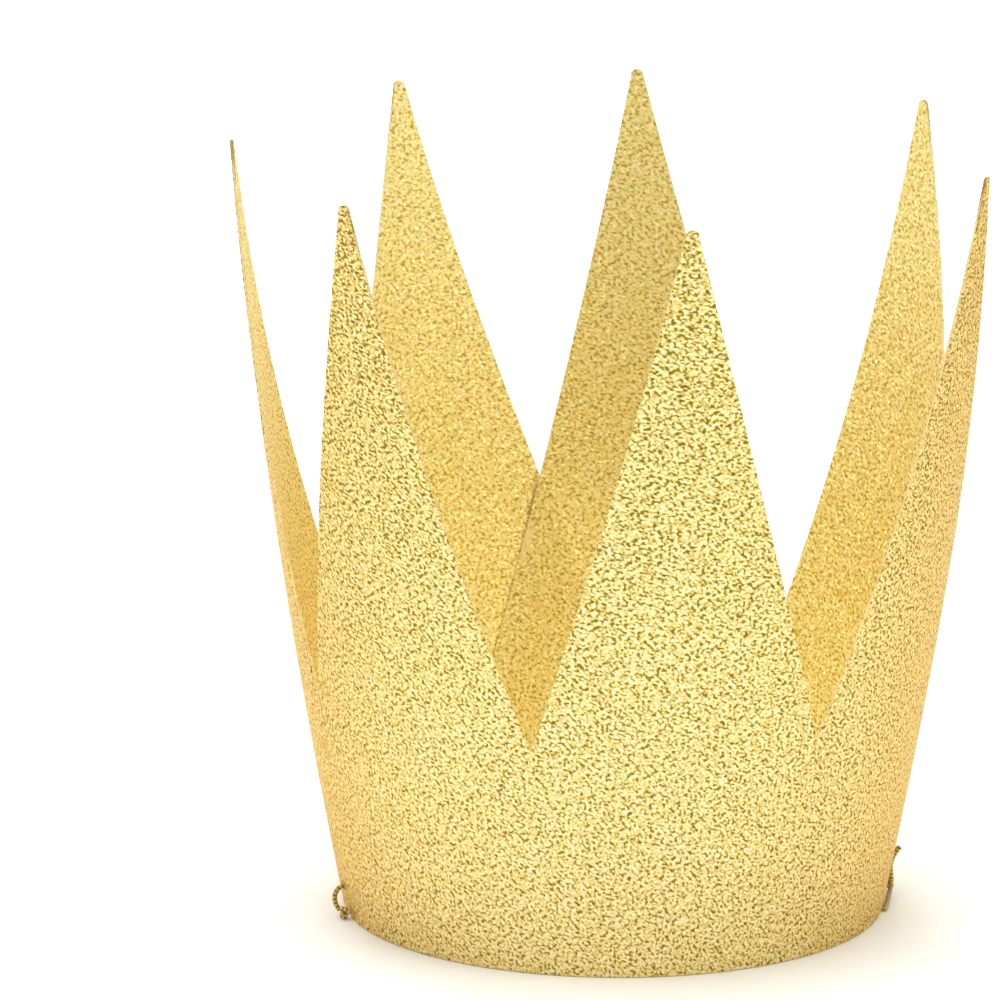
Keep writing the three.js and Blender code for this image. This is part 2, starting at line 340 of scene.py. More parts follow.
UP = np.array([0, 0, 1.0])
elastic = braided_tube("elastic_cord", elastic_path, ELASTIC_RADIUS, UP)
print("elastic cord:", len(elastic.data.polygons), "faces")

# %% [markdown]
# ## The two ties
#
# Each end of the elastic goes out through the punched hole and down into a small knot beside the
# card. The loop is a bent tube, and the knot is the simplest knotted curve there is, a trefoil,
# turned to lie along the wall. At the right one end lies forward along the rim, and it turns up
# past the knot to its cut end, which is a little frayed.

# %% Loops, knots and the free end
LOOP_ROUTES = {
    "left": [
        [0, 48.6, 1.9], [0, 48.7, 3.6], [0, 49.4, 5.3], [0, 50.9, 6], [0, 52.4, 5.7], [0, 53.3, 4.5],
        [0.3, 53.4, 3], [0.9, 52.7, 1.5],
    ],
    "right": [
        [0, 48.6, 1.9], [0, 48.7, 3.6], [0, 49.4, 5.3], [0, 50.9, 6], [0, 51.9, 5.3], [0, 52.1, 4.2],
        [-0.3, 52.2, 3.2], [-0.6, 52.1, 2.1],
    ],
}
TAIL_ROUTE = [
    [71, 50.8, 0.5], [76, 51.0, 0.6], [81, 51.5, 1], [84, 52.1, 2], [84.8, 52.2, 3.5],
    [84.9, 52.1, 5.2], [84.5, 52.3, 6.6], [83.9, 52.8, 8], [83.4, 53.5, 9.2],
]
KNOT_SHIFT = {"left": np.radians(2), "right": np.radians(-1.2)}
KNOT_HEIGHTS = {"left": 1.35 * MM, "right": 1.9 * MM}
KNOT_REACH = 52.1 * MM
KNOT_WIDTH = 0.31 * MM
KNOT_DEPTH = 0.34 * MM
KNOT_STRAND = 0.86
KNOT_SAMPLES = 160
TIE_STEP = 0.12 * MM
FRAY_START = 0.8
FRAY_WIDTH = 0.18


def tie_loop(name, side, azimuth):
    """The loop's route is turned to its tie; it lies in one upright plane through the axis."""
    route = np.array(LOOP_ROUTES[side], float)
    route[:, 0] += np.degrees(azimuth)
    path, _ = smooth_line(route_points(route), TIE_STEP)
    across = np.array([np.cos(azimuth), np.sin(azimuth), 0])
    return braided_tube(name, path, ELASTIC_RADIUS, across)


def tie_knot(name, side, azimuth):
    """A trefoil: across = sin t + 2 sin 2t, up = cos t - 2 cos 2t, outwards = -sin 3t."""
    t = np.linspace(0, 2 * np.pi, KNOT_SAMPLES, endpoint=False)
    out = np.array([np.sin(azimuth), -np.cos(azimuth), 0])
    across = np.cross(out, UP)
    centre = ring_place(azimuth + KNOT_SHIFT[side], KNOT_REACH, KNOT_HEIGHTS[side])
    flat = (np.sin(t) + 2 * np.sin(2 * t))[:, None] * across
    flat = flat + (np.cos(t) - 2 * np.cos(2 * t))[:, None] * UP
    path = centre + flat * KNOT_WIDTH - np.sin(3 * t)[:, None] * out * KNOT_DEPTH
    return braided_tube(name, path, ELASTIC_RADIUS * KNOT_STRAND, out, closed=True)


def cut_end(share):
    """The tube keeps its width, then frays: it widens slightly and stops at the cut."""
    return 1 + FRAY_WIDTH * np.clip((share - FRAY_START) / (1 - FRAY_START), 0, 1)


tie_pieces = {}
for side, azimuth in TIE_AZIMUTHS.items():
    tie_pieces[f"{side}_tie_loop"] = tie_loop(f"{side}_loop_of_elastic", side, azimuth)
    tie_pieces[f"{side}_tie_knot"] = tie_knot(f"{side}_knot_of_elastic", side, azimuth)
tail_path, _ = smooth_line(route_points(TAIL_ROUTE), TIE_STEP)
tail_across = np.array([0, 1.0, 0])
tail = braided_tube("right_free_end", tail_path, ELASTIC_RADIUS, tail_across, cut_end)
tie_pieces["right_tie_tail"] = tail
print("tie pieces:", ", ".join(tie_pieces))

for node, piece in tie_pieces.items():
    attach(piece, "band")
    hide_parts(node)
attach(elastic, "band")
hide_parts("chin_elastic")

# %% [markdown]
# ## The card as a function of two numbers
#
# A place on the card is its slant, the distance up from the rim, and its azimuth round the
# strip. The strip is longer than one turn, so azimuth runs past half a turn at both ends, and
# the radius shrinks slowly along the whole strip: that is what lays one end inside the other.
# Above the notches each point may drift sideways and lean, more and more towards its tip.

# %% The card's surface
SPLIT_SLANT = 64 * MM
RUBBED_TURN = np.radians(5)
RUBBED_FADE = 10 * MM
RUBBED_STEP = 0.6 * MM
PARED_TURN = np.radians(1.5)
PARED_SHARE = 0.85
SIN_FLARE = FLARE / np.hypot(1, FLARE)
COS_FLARE = 1 / np.hypot(1, FLARE)
RIM_REACH = RIM_RADIUS / SIN_FLARE
APEX_REACH = RIM_REACH + APEX_SLANT
NOTCH_REACH = RIM_REACH + NOTCH_SLANT
NOTCH_ANGLE = POINT_PITCH / 2 * SIN_FLARE
EDGE_ANGLE = np.arctan2(NOTCH_REACH * np.sin(NOTCH_ANGLE), APEX_REACH - NOTCH_REACH * np.cos(NOTCH_ANGLE))
TIP_ROUND = (APEX_SLANT - TIP_SLANT) / (1 / np.sin(EDGE_ANGLE) - 1)
TIP_CENTRE = TIP_SLANT - TIP_ROUND
TIP_TANGENT = TIP_CENTRE + TIP_ROUND * np.sin(EDGE_ANGLE)


def wall_radius(slant):
    """Rim radius plus slope times height, less the easing times height squared."""
    height = slant * COS_FLARE
    return RIM_RADIUS + FLARE * height - FLARE_EASE * height**2


def half_width(slant):
    """Azimuth from a point's middle line to its edge: a straight edge, then the tip's round."""
    turn = np.arcsin(APEX_REACH * np.sin(EDGE_ANGLE) / (RIM_REACH + slant))
    straight = (turn - EDGE_ANGLE) / SIN_FLARE
    round_half = np.sqrt(np.clip(TIP_ROUND**2 - (slant - TIP_CENTRE) ** 2, 0, None))
    return np.where(slant > TIP_TANGENT, round_half / wall_radius(slant), straight)


def edge_slant(half):
    """The reverse of the straight edge: the slant at which it lies that far from the middle."""
    turn = half * SIN_FLARE + EDGE_ANGLE
    return APEX_REACH * np.sin(EDGE_ANGLE) / np.sin(turn) - RIM_REACH


def card_point(slant, azimuth, index, offset):
    """The place in space of a place on the card, out from the card's middle by offset.

    The strip's inner end is rubbed down on to the wall behind it: over the last few degrees it
    steps outward by the width of the gap that the tape leaves, and at the cut it is pared down to a
    small share of its thickness.
    """
    rise = np.clip((slant - NOTCH_SLANT) / (TIP_SLANT - NOTCH_SLANT), 0, None)
    to_end = MIDDLES[-1] + half_width(slant) - azimuth
    low = np.clip((SPLIT_SLANT - slant) / RUBBED_FADE, 0, 1)
    down = np.clip(1 - to_end / RUBBED_TURN, 0, 1) * low
    pared = 1 - PARED_SHARE * np.clip(1 - to_end / PARED_TURN, 0, 1) * low
    radius = wall_radius(slant) + LEAN[index] * rise**1.5 - SEAM_LAP * azimuth / (2 * np.pi)
    radius = radius + offset * pared + RUBBED_STEP * down**2 * (3 - 2 * down)
    return ring_place(azimuth + SWAY[index] * rise, radius, slant * COS_FLARE)


tip_height = TIP_SLANT * COS_FLARE
print(f"tips at {tip_height * 1000:.2f} mm, CAD says {box_of('point_front_card')[1][2] * 1000:.2f} mm")

# %% [markdown]
# ## Laying a grid on the band and on a point
#
# The band's grid has a column for each small step of azimuth, and its rows are spread evenly
# between the rim and the column's own top, which follows the notches. The points start a little
# below the line that they bend about, so that the bend itself lies inside one piece. A point's
# grid has a row for each small step of slant, spread between its two edges. Holes and the nick
# under each tie are cut while the card is still flat: that is just moving the grid's points.

# %% Grids on the flat blank
FACET_SPACING = 0.5 * MM
FINE_SHARE = 1 / 3
TIE_ZONE = np.radians(2.4)
NEAREST_MIDDLE = 0.02
TIP_TURN = np.radians(86)
TIP_STEPS = 6
HALF_PITCH = POINT_PITCH / 2
SPLIT_HALF = float(half_width(SPLIT_SLANT))
END_HALF = float(half_width(END_CORNER_SLANT))


def stepped(stops, step, fine_step):
    """Azimuths through every stop, in equal steps between them, finer inside the tie zones."""
    parts = []
    for low, high in zip(stops[:-1], stops[1:]):
        middle = (low + high) / 2
        near_tie = any(abs(middle - azimuth) < TIE_ZONE for azimuth in TIE_AZIMUTHS.values())
        count = max(1, int(round((high - low) / (fine_step if near_tie else step))))
        parts.append(np.linspace(low, high, count, endpoint=False))
    return np.concatenate(parts + [stops[-1:]])


def band_azimuths(step, fine_step):
    """Stops at the strip's ends, at every notch and every corner where a point begins."""
    stops = {MIDDLES[0] - END_HALF, MIDDLES[-1] + END_HALF}
    for middle in MIDDLES:
        stops |= {middle - SPLIT_HALF, middle + SPLIT_HALF, middle - HALF_PITCH}
    for azimuth in TIE_AZIMUTHS.values():
        stops |= {azimuth - TIE_ZONE, azimuth + TIE_ZONE}
    return stepped(np.array(sorted(stops)), step, fine_step)


def nick_at(azimuth):
    """Height of the rim's nick under a tie: half an oval of card bitten away by the elastic."""
    lowest = np.zeros_like(azimuth)
    for tie in TIE_AZIMUTHS.values():
        across = (azimuth - tie) * RIM_RADIUS
        bite = NICK_HEIGHT + np.sqrt(np.clip(NICK_RADIUS**2 - across**2, 0, None))
        lowest = np.where(np.abs(across) < NICK_RADIUS, np.maximum(lowest, bite), lowest)
    return lowest


def band_grid(spacing, rows, lowest):
    """Slant, azimuth and point index for each place of the band's grid, row by row."""
    azimuth = band_azimuths(spacing / RIM_RADIUS, spacing / RIM_RADIUS * FINE_SHARE)
    index = np.abs(azimuth[:, None] - MIDDLES).argmin(1)
    away = np.abs(azimuth - MIDDLES[index])
    top = np.minimum(SPLIT_SLANT, edge_slant(np.maximum(away, NEAREST_MIDDLE)))
    bottom = np.maximum(lowest, nick_at(azimuth) / COS_FLARE)
    share = np.linspace(0, 1, rows)[:, None]
    slant = bottom + (top - bottom) * share
    return slant, np.broadcast_to(azimuth, slant.shape).copy(), np.broadcast_to(index, slant.shape)


def point_grid(index, spacing, columns):
    """Slant, azimuth and point index for one point, from the split up to the rounded tip."""
    straight = np.linspace(SPLIT_SLANT, TIP_TANGENT, int((TIP_TANGENT - SPLIT_SLANT) / spacing))
    round_turn = np.linspace(EDGE_ANGLE, TIP_TURN, TIP_STEPS)[1:]
    slant = np.concatenate([straight, TIP_CENTRE + TIP_ROUND * np.sin(round_turn)])[:, None]
    share = np.linspace(-1, 1, columns)
    azimuth = MIDDLES[index] + share * half_width(slant)
    slant = np.broadcast_to(slant, azimuth.shape).copy()
    return slant, azimuth, np.full(azimuth.shape, index)


def punch(slant, azimuth):
    """Push grid places out of the tie holes, and say which places were inside a hole."""
    inside = np.zeros(slant.shape, bool)
    for tie in TIE_AZIMUTHS.values():
        radius = RIM_RADIUS + FLARE * HOLE_HEIGHT
        across = (azimuth - tie) * radius
        up = slant - HOLE_HEIGHT / COS_FLARE
        away = np.hypot(across, up)
        within = away < HOLE_RADIUS
        push = HOLE_RADIUS / np.maximum(away, 1e-6)
        azimuth = np.where(within, tie + across * push / radius, azimuth)
        slant = np.where(within, HOLE_HEIGHT / COS_FLARE + up * push, slant)
        inside |= within
    return slant, azimuth, inside


print("band grid, rows and columns:", band_grid(FACET_SPACING, 2, 0)[0].shape)

# %% [markdown]
# ## Card and glitter as closed sheets
#
# Every layer is a closed sheet with a front, a back and a rim of narrow faces. The card core is
# smooth on both sides. The front of a glitter layer is a field of flakes: its grid is shaken a
# little along the sheet and each place is raised or sunk by its own amount, and flat shading
# leaves each little facet its own tilt. The back of a layer is never seen, so it has few rows.

# %% Flake relief and closed sheets
FLAKE_SIZE = 0.36 * MM
FLAKE_RELIEF = 0.055 * MM
SHAKE = 0.32
BACK_ROWS = 9
TONE_EDGE = 0.4 * MM
LAST_POINT_SHADE_TURN = np.radians(4)
LAST_POINT_SHADE_RISE = 25 * MM
LAST_POINT_SHADE_SHARE = 0.9


def hashed(column, row, salt):
    """A repeatable random number from 0 to 1 for each pair of whole numbers."""
    mixed = np.sin(column * 127.1 + row * 311.7 + salt * 74.7) * 43758.5453
    return mixed - np.floor(mixed)


def flake_height(across, up, salt):
    """Value noise on the flat blank: random heights on a lattice, blended between its corners."""
    x, y = across / FLAKE_SIZE, up / FLAKE_SIZE
    column, row = np.floor(x), np.floor(y)
    u, v = x - column, y - row
    low = hashed(column, row, salt) * (1 - u) + hashed(column + 1, row, salt) * u
    high = hashed(column, row + 1, salt) * (1 - u) + hashed(column + 1, row + 1, salt) * u
    return low * (1 - v) + high * v - 0.5


def layered_shade_mask(slant, azimuth, inward):
    """1 where the other end of the strip lies behind the card, 0 where it is a single layer.

    The inside of the last point, next to the seam, gets nearly the same value. The value paints
    shade: two layers let less light through. Nothing lies behind the last point: its painted shade
    is only as deep in tone as the real one looks.
    """
    last = 0
    if inward:
        into = azimuth - 2 * np.pi - (MIDDLES[0] - half_width(slant))
        last = np.clip((azimuth - MIDDLES[-1] + HALF_PITCH) / LAST_POINT_SHADE_TURN, 0, 1)
        last = last * LAST_POINT_SHADE_SHARE * np.clip((slant - NOTCH_SLANT) / LAST_POINT_SHADE_RISE, 0, 1)
    else:
        into = (MIDDLES[-1] + half_width(slant)) - (azimuth + 2 * np.pi)
    return np.maximum(last, np.clip(into * RIM_RADIUS / TONE_EDGE + 0.5, 0, 1))


def sheet_piece(name, grid, near, far, inward=False, salt=None, smooth=True):
    """A closed sheet between two offsets from the card's middle, built on a grid of places.

    The front lies at far, with the flakes' relief if salt is given, and the back at near with a
    few of the rows. Narrow faces join the two all round; the punched holes open the front only, and
    no faces line them.
    """
    slant, azimuth, index = grid
    rows, columns = slant.shape
    sign = -1 if inward else 1
    if salt is not None:
        loose = np.zeros(slant.shape)
        loose[1:-1, 1:-1] = 1
        row, column = np.indices(slant.shape)
        step_up = np.gradient(slant, axis=0)
        step_round = np.gradient(azimuth, axis=1)
        slant = slant + (hashed(column, row, salt) - 0.5) * 2 * SHAKE * step_up * loose
        azimuth = azimuth + (hashed(column, row, salt + 1) - 0.5) * 2 * SHAKE * step_round * loose
    slant, azimuth, inside = punch(slant, azimuth)
    across = azimuth * RIM_RADIUS
    relief = 0 if salt is None else 2 * FLAKE_RELIEF * flake_height(across, slant, salt)
    front = card_point(slant, azimuth, index, sign * (far + relief))
    kept = np.unique(np.linspace(0, rows - 1, min(rows, BACK_ROWS)).round().astype(int))
    back = card_point(slant[kept], azimuth[kept], index[kept], sign * near)
    points = np.concatenate([front.reshape(-1, 3), back.reshape(-1, 3)])
    blank = np.stack([across, slant], -1)
    blank = np.concatenate([blank.reshape(-1, 2), blank[kept].reshape(-1, 2)])

    quads = grid_faces(rows, columns)
    quads = quads[~inside.ravel()[quads].all(1)]
    start = rows * columns
    back_quads = grid_faces(len(kept), columns, start)[:, ::-1]
    over = np.arange(columns - 1)
    bottom = np.stack([over + 1, over, start + over, start + over + 1], -1)
    front_top, back_top = (rows - 1) * columns, start + (len(kept) - 1) * columns
    top = np.stack([front_top + over, front_top + over + 1, back_top + over + 1, back_top + over], -1)
    sides = []
    for part, (low, high) in enumerate(zip(kept[:-1], kept[1:])):
        run = np.arange(low, high + 1) * columns
        lower, upper = start + part * columns, start + (part + 1) * columns
        sides.append(np.concatenate([run[::-1], [lower, upper]])[None])
        sides.append(np.concatenate([run + columns - 1, [upper + columns - 1, lower + columns - 1]])[None])
    faces = [quads, back_quads, bottom, top] + sides
    if inward:
        faces = [block[:, ::-1] for block in faces]
    # Mask of painted shade, where two layers of card let less light through and on the last point's inside.
    layered_shade = layered_shade_mask(blank[:, 1], blank[:, 0] / RIM_RADIUS, inward)
    return make_piece(name, points, faces, blank, smooth, {"layered_shade_mask": layered_shade})


# %% [markdown]
# ## Making the twenty-four card pieces
#
# A layer is one band and seven points. All the pieces of a layer read the same flake field and
# the same flat blank, so the glitter runs on without a break from the band into every point.

# %% Build the card and its glitter
HALF_CARD = CARD_THICKNESS / 2
GLITTER_NEAR = HALF_CARD + GLUE_GAP
GLITTER_FAR = GLITTER_NEAR + GLITTER_THICKNESS
CARD_SPACING = 1.0 * MM
CARD_ROWS = 33
CARD_COLUMNS = 21
GLITTER_ROWS = 112
GLITTER_COLUMNS = 64

layers = {
    "card": dict(near=-HALF_CARD, far=HALF_CARD),
    "outer_glitter": dict(near=GLITTER_NEAR, far=GLITTER_FAR, salt=3, smooth=False),
    "inner_glitter": dict(near=GLITTER_NEAR, far=GLITTER_FAR, salt=11, smooth=False, inward=True),
}
card_pieces = {}
for layer, shape in layers.items():
    plain = layer == "card"
    spacing = CARD_SPACING if plain else FACET_SPACING
    band_rows = CARD_ROWS if plain else GLITTER_ROWS
    grid = band_grid(spacing, band_rows, 0 if plain else GLITTER_LIFT)
    card_pieces[f"band_{layer}"] = sheet_piece(f"{layer}_of_band", grid, **shape)
    for index, point in enumerate(POINTS):
        grid = point_grid(index, spacing, CARD_COLUMNS if plain else GLITTER_COLUMNS)
        card_pieces[f"point_{point}_{layer}"] = sheet_piece(f"{layer}_of_{point}_point", grid, **shape)
    count = sum(len(piece.data.polygons) for node, piece in card_pieces.items() if node.endswith(layer))
    print(f"{layer}: 8 pieces, {count} faces")

# %% [markdown]
# ## The gold glitter
#
# Glitter flakes are cut metallised film, a few tenths of a millimetre wide, glued at every
# angle. Seen from a step away a flake is bright if it throws the light at you and dark olive if it
# doesn't. The material gives each cell of a Voronoi pattern on the flat blank its own colour,
# roughness and tilt, and that colour is partly painted glint and painted shade. The inner face has
# the same flakes and more lacquer, with lighter, softer colours as painted light for the light that
# fills the ring. Where two layers of card lie on each other, painted shade deepens the tone.

# %% Node helpers
def new_material(name):
    """A material with an empty node tree, its tree, and its Principled shader."""
    material = bpy.data.materials.new(name)
    material.use_nodes = True
    tree = material.node_tree
    tree.nodes.clear()
    output = tree.nodes.new("ShaderNodeOutputMaterial")
    shader = tree.nodes.new("ShaderNodeBsdfPrincipled")
    tree.links.new(shader.outputs["BSDF"], output.inputs["Surface"])
    return material, tree, shader


def add_node(tree, kind, inputs=None, **settings):
    """Add a node, set its properties, then set or link each named or numbered input."""
    made = tree.nodes.new(kind)
    for key, value in settings.items():
        setattr(made, key, value)
    for key, value in (inputs or {}).items():
        if isinstance(value, bpy.types.NodeSocket):
            tree.links.new(value, made.inputs[key])
        else:
            made.inputs[key].default_value = value
    return made


def colour_stops(tree, factor, stops):
    """A colour ramp with the given (place, colour) stops, driven by a factor."""
    ramp = add_node(tree, "ShaderNodeValToRGB", {0: factor})
    elements = ramp.color_ramp.elements
    while len(elements) < len(stops):
        elements.new(0.5)
    for element, (place, colour) in zip(elements, stops):
        element.position = place
        element.color = (*colour, 1)
    return ramp.outputs["Color"]


def mixed(tree, factor, a, b, blend="MIX"):
    """A colour mix of a and b by a factor."""
    node = add_node(tree, "ShaderNodeMix", data_type="RGBA", blend_type=blend)
    for socket, value in ((node.inputs[0], factor), (node.inputs[6], a), (node.inputs[7], b)):
        if isinstance(value, bpy.types.NodeSocket):
            tree.links.new(value, socket)
        else:
            socket.default_value = value
    return node.outputs[2]


# %% Glitter material
FILM_SIZE = 0.38 * MM
CLUMP_SIZE = 0.48 * MM
CLUMP_SHARE = 0.72
COMB_STRETCH = 1.3
CLUMP_RANGE = (0.22, 0.78)
CLUMP_DISTORTION = 0.4
TIP_SHADE_RANGE = (22.5 * MM / BLANK_SCALE, 144 * MM / BLANK_SCALE)
ROUGHNESS_RANGE = (0.3, 0.55)
COAT_ROUGHNESS = 0.3
GOLD_GLINT = (1.0, 0.82, 0.45, 1)


def glitter(name, stops, tilt, metallic, coat, comb, tip_shade, edge_on_shade, layered_shade_tone):
    """Small flakes that lie in clumps, each flake with its own roughness and tilt.

    The tone is a sum: a smooth noise as wide as a clump, painted darker in its hollows as shaded
    glue and combed slantwise by the glue roller, plus each flake's own random number, which paints a
    glint on some flakes and shade on others. Each flake's normal is the facet's normal plus a random
    step of up to half the tilt. The tone may be sunk towards the tips by a painted shade. Seen edge-on
    the flakes shade each other, and that shade is painted: the colour is multiplied by an edge-on
    shade colour. Where two layers of card lie, a painted shade colour deepens it. A clear lacquer lies
    over it all.
    """
    material, tree, shader = new_material(name)
    blank = add_node(tree, "ShaderNodeUVMap", uv_map="blank").outputs["UV"]
    flakes = add_node(
        tree, "ShaderNodeTexVoronoi", {"Vector": blank, "Scale": BLANK_SCALE / FILM_SIZE},
        voronoi_dimensions="2D", feature="F1",
    )
    channels = add_node(tree, "ShaderNodeSeparateColor", {"Color": flakes.outputs["Color"]})
    turned_blank = {"Vector": blank, "Rotation": (0, 0, comb), "Scale": (COMB_STRETCH, 1, 1)}
    combed = add_node(tree, "ShaderNodeMapping", turned_blank, vector_type="TEXTURE").outputs[0]
    clump_noise = {
        "Vector": combed, "Scale": BLANK_SCALE / CLUMP_SIZE, "Detail": 0, "Distortion": CLUMP_DISTORTION,
    }
    clumps = add_node(tree, "ShaderNodeTexNoise", clump_noise, noise_dimensions="2D")
    low, high = CLUMP_RANGE
    spread_clumps = add_node(tree, "ShaderNodeMapRange", {0: clumps.outputs[0], 1: low, 2: high})
    tone = add_node(
        tree, "ShaderNodeMix", {0: CLUMP_SHARE, 2: channels.outputs[0], 3: spread_clumps.outputs[0]},
    )
    # Painted shade: the tone sinks with height, darker towards the tips.
    height = add_node(tree, "ShaderNodeSeparateXYZ", {0: blank}).outputs[1]
    low, high = TIP_SHADE_RANGE
    tip_shade_ramp = add_node(tree, "ShaderNodeMapRange", {0: height, 1: low, 2: high, 3: 0.0, 4: tip_shade})
    tone = add_node(tree, "ShaderNodeMath", {0: tone.outputs[0], 1: tip_shade_ramp.outputs[0]}, operation="SUBTRACT")
    colour = colour_stops(tree, tone.outputs[0], stops)
    # Painted shade: seen edge-on, the colour is multiplied towards a deeper gold.
    edge_on = add_node(tree, "ShaderNodeLayerWeight", {"Blend": 0.5}).outputs["Facing"]
    colour = mixed(tree, edge_on, colour, mixed(tree, 1.0, colour, edge_on_shade, "MULTIPLY"))
    # Painted shade: the colour is deepened where two layers of card lie, and on the last point's inside.
    layered_shade = add_node(tree, "ShaderNodeAttribute", attribute_name="layered_shade_mask").outputs["Fac"]
    colour = mixed(tree, layered_shade, colour, mixed(tree, 1.0, colour, layered_shade_tone, "MULTIPLY"))
    tree.links.new(colour, shader.inputs["Base Color"])
    smoothest, roughest = ROUGHNESS_RANGE
    rough = add_node(tree, "ShaderNodeMapRange", {0: channels.outputs[1], 3: smoothest, 4: roughest})
    tree.links.new(rough.outputs[0], shader.inputs["Roughness"])
    random_step = {0: flakes.outputs["Color"], 1: (0.5, 0.5, 0.5)}
    spread = add_node(tree, "ShaderNodeVectorMath", random_step, operation="SUBTRACT")
    lean = add_node(tree, "ShaderNodeVectorMath", {0: spread.outputs[0], "Scale": tilt}, operation="SCALE")
    facing = add_node(tree, "ShaderNodeNewGeometry").outputs["Normal"]
    turned = add_node(tree, "ShaderNodeVectorMath", {0: facing, 1: lean.outputs[0]}, operation="ADD")
    unit = add_node(tree, "ShaderNodeVectorMath", {0: turned.outputs[0]}, operation="NORMALIZE")
    tree.links.new(unit.outputs[0], shader.inputs["Normal"])
    shader.inputs["Metallic"].default_value = metallic
    shader.inputs["Specular Tint"].default_value = GOLD_GLINT
    shader.inputs["Coat Weight"].default_value = coat
    shader.inputs["Coat Roughness"].default_value = COAT_ROUGHNESS
    return material


# Flake colours from dark olive to cream: partly painted shade and painted glint, on top of what each
# flake's tilt catches from the lamps.
OUTER_STOPS = [
    (0.15, (0.25, 0.172, 0.012)), (0.31, (0.60, 0.46, 0.10)), (0.45, (0.84, 0.69, 0.25)),
    (0.62, (0.94, 0.82, 0.40)), (0.80, (0.98, 0.90, 0.61)),
]
# The inside's colours are lighter and softer than the outside's: painted light, for the light that fills
# the ring.
INNER_STOPS = [
    (0.14, (0.50, 0.37, 0.058)), (0.32, (0.80, 0.64, 0.185)), (0.5, (0.91, 0.765, 0.285)),
    (0.65, (0.97, 0.85, 0.40)), (0.82, (0.99, 0.92, 0.58)),
]
# In both calls the darkening towards the tips, the darkening seen edge-on and the deeper tone over two
# layers of card are painted shade.
outer_gold = glitter(
    "gold_glitter_outside", OUTER_STOPS, tilt=0.6, metallic=0.65, coat=0.05, comb=np.radians(-54),
    tip_shade=0.09, edge_on_shade=(0.76, 0.58, 0.32, 1), layered_shade_tone=(0.90, 0.88, 0.84, 1),
)
inner_gold = glitter(
    "gold_glitter_inside", INNER_STOPS, tilt=0.6, metallic=0.5, coat=0.2, comb=np.radians(54),
    tip_shade=0.0, edge_on_shade=(1.0, 0.93, 0.80, 1), layered_shade_tone=(0.87, 0.84, 0.76, 1),
)
print("glitter materials:", outer_gold.name, inner_gold.name)

# %% [markdown]
# ## Card, tape and gold thread
#
# The card core shows only as a narrow line at each cut edge: dyed board with short fibres. The tape
# is clear film over cream adhesive. The elastic is wrapped in flat gold thread, with painted
# highlight on the ridges of the braid and painted shade in its crossings.

# %% Plain materials
def dyed_card():
    """Ochre board, flecked by fine noise as short fibres are, and matt."""
    material, tree, shader = new_material("dyed_card_edge")
    place = add_node(tree, "ShaderNodeTexCoord").outputs["Object"]
    fibres = add_node(tree, "ShaderNodeTexNoise", {"Vector": place, "Scale": 2400, "Detail": 4})
    relief = {"Height": fibres.outputs[0], "Strength": 0.4, "Distance": 0.1 * MM}
    colour = colour_stops(tree, fibres.outputs[0], [(0.35, (0.74, 0.54, 0.20)), (0.65, (0.93, 0.74, 0.36))])
    tree.links.new(colour, shader.inputs["Base Color"])
    bump = add_node(tree, "ShaderNodeBump", relief)
    tree.links.new(bump.outputs[0], shader.inputs["Normal"])
    shader.inputs["Roughness"].default_value = 0.75
    return material


def clear_tape():
    """Cream adhesive with faint trapped bubbles under a glossy film."""
    material, tree, shader = new_material("double_sided_tape")
    place = add_node(tree, "ShaderNodeTexCoord").outputs["Object"]
    bubbles = add_node(tree, "ShaderNodeTexNoise", {"Vector": place, "Scale": 700, "Detail": 5})
    colour = colour_stops(tree, bubbles.outputs[0], [(0.4, (0.80, 0.74, 0.60)), (0.7, (0.93, 0.90, 0.80))])
    tree.links.new(colour, shader.inputs["Base Color"])
    shader.inputs["Roughness"].default_value = 0.3
    return material


def gold_thread():
    """Gold flat thread, with painted highlight on the ridges of the braid and painted shade in its
    crossings.
    """
    material, tree, shader = new_material("gold_thread_braid")
    braid = add_node(tree, "ShaderNodeAttribute", attribute_name="braid").outputs["Fac"]
    level = add_node(tree, "ShaderNodeMapRange", {0: braid, 1: -1.0, 2: 1.0}).outputs[0]
    place = add_node(tree, "ShaderNodeTexCoord").outputs["Object"]
    strands = add_node(tree, "ShaderNodeTexNoise", {"Vector": place, "Scale": 5200, "Detail": 2})
    # Painted shade in the braid's crossings, dark brown, and painted highlight on its ridges, pale gold.
    braid_highlight_and_shade_stops = [(0.15, (0.10, 0.05, 0.004)), (0.5, (0.58, 0.38, 0.07)), (0.85, (1.0, 0.80, 0.34))]
    colour = colour_stops(tree, level, braid_highlight_and_shade_stops)
    flecks = colour_stops(tree, strands.outputs[0], [(0.35, (0.62, 0.58, 0.5)), (0.65, (1.0, 1.0, 1.0))])
    tree.links.new(mixed(tree, 1.0, colour, flecks, "MULTIPLY"), shader.inputs["Base Color"])
    relief = {"Height": strands.outputs[0], "Strength": 0.5, "Distance": 0.05 * MM}
    bump = add_node(tree, "ShaderNodeBump", relief)
    tree.links.new(bump.outputs[0], shader.inputs["Normal"])
    shader.inputs["Metallic"].default_value = 0.75
    shader.inputs["Roughness"].default_value = 0.38
    return material


card_edge = dyed_card()
tape_film = clear_tape()
thread = gold_thread()
finishes = {"card": card_edge, "outer_glitter": outer_gold, "inner_glitter": inner_gold}
for piece in [elastic, *tie_pieces.values()]:
    piece.data.materials.append(thread)
for tape_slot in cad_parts["seam_tape"].material_slots:
    tape_slot.material = tape_film
print("plain materials:", card_edge.name, tape_film.name, thread.name)

# %% [markdown]
# ## The pieces' finishes, and the band's body
#
# Each piece gets its layer's finish, and its CAD part is hidden. The band pieces ride on the band.
# A point piece starts well below the line it bends about; its transform is baked into its mesh,
# and it is not joined to a body.

# %% Finishes and the band's body
BEND_REACH = 11 * MM

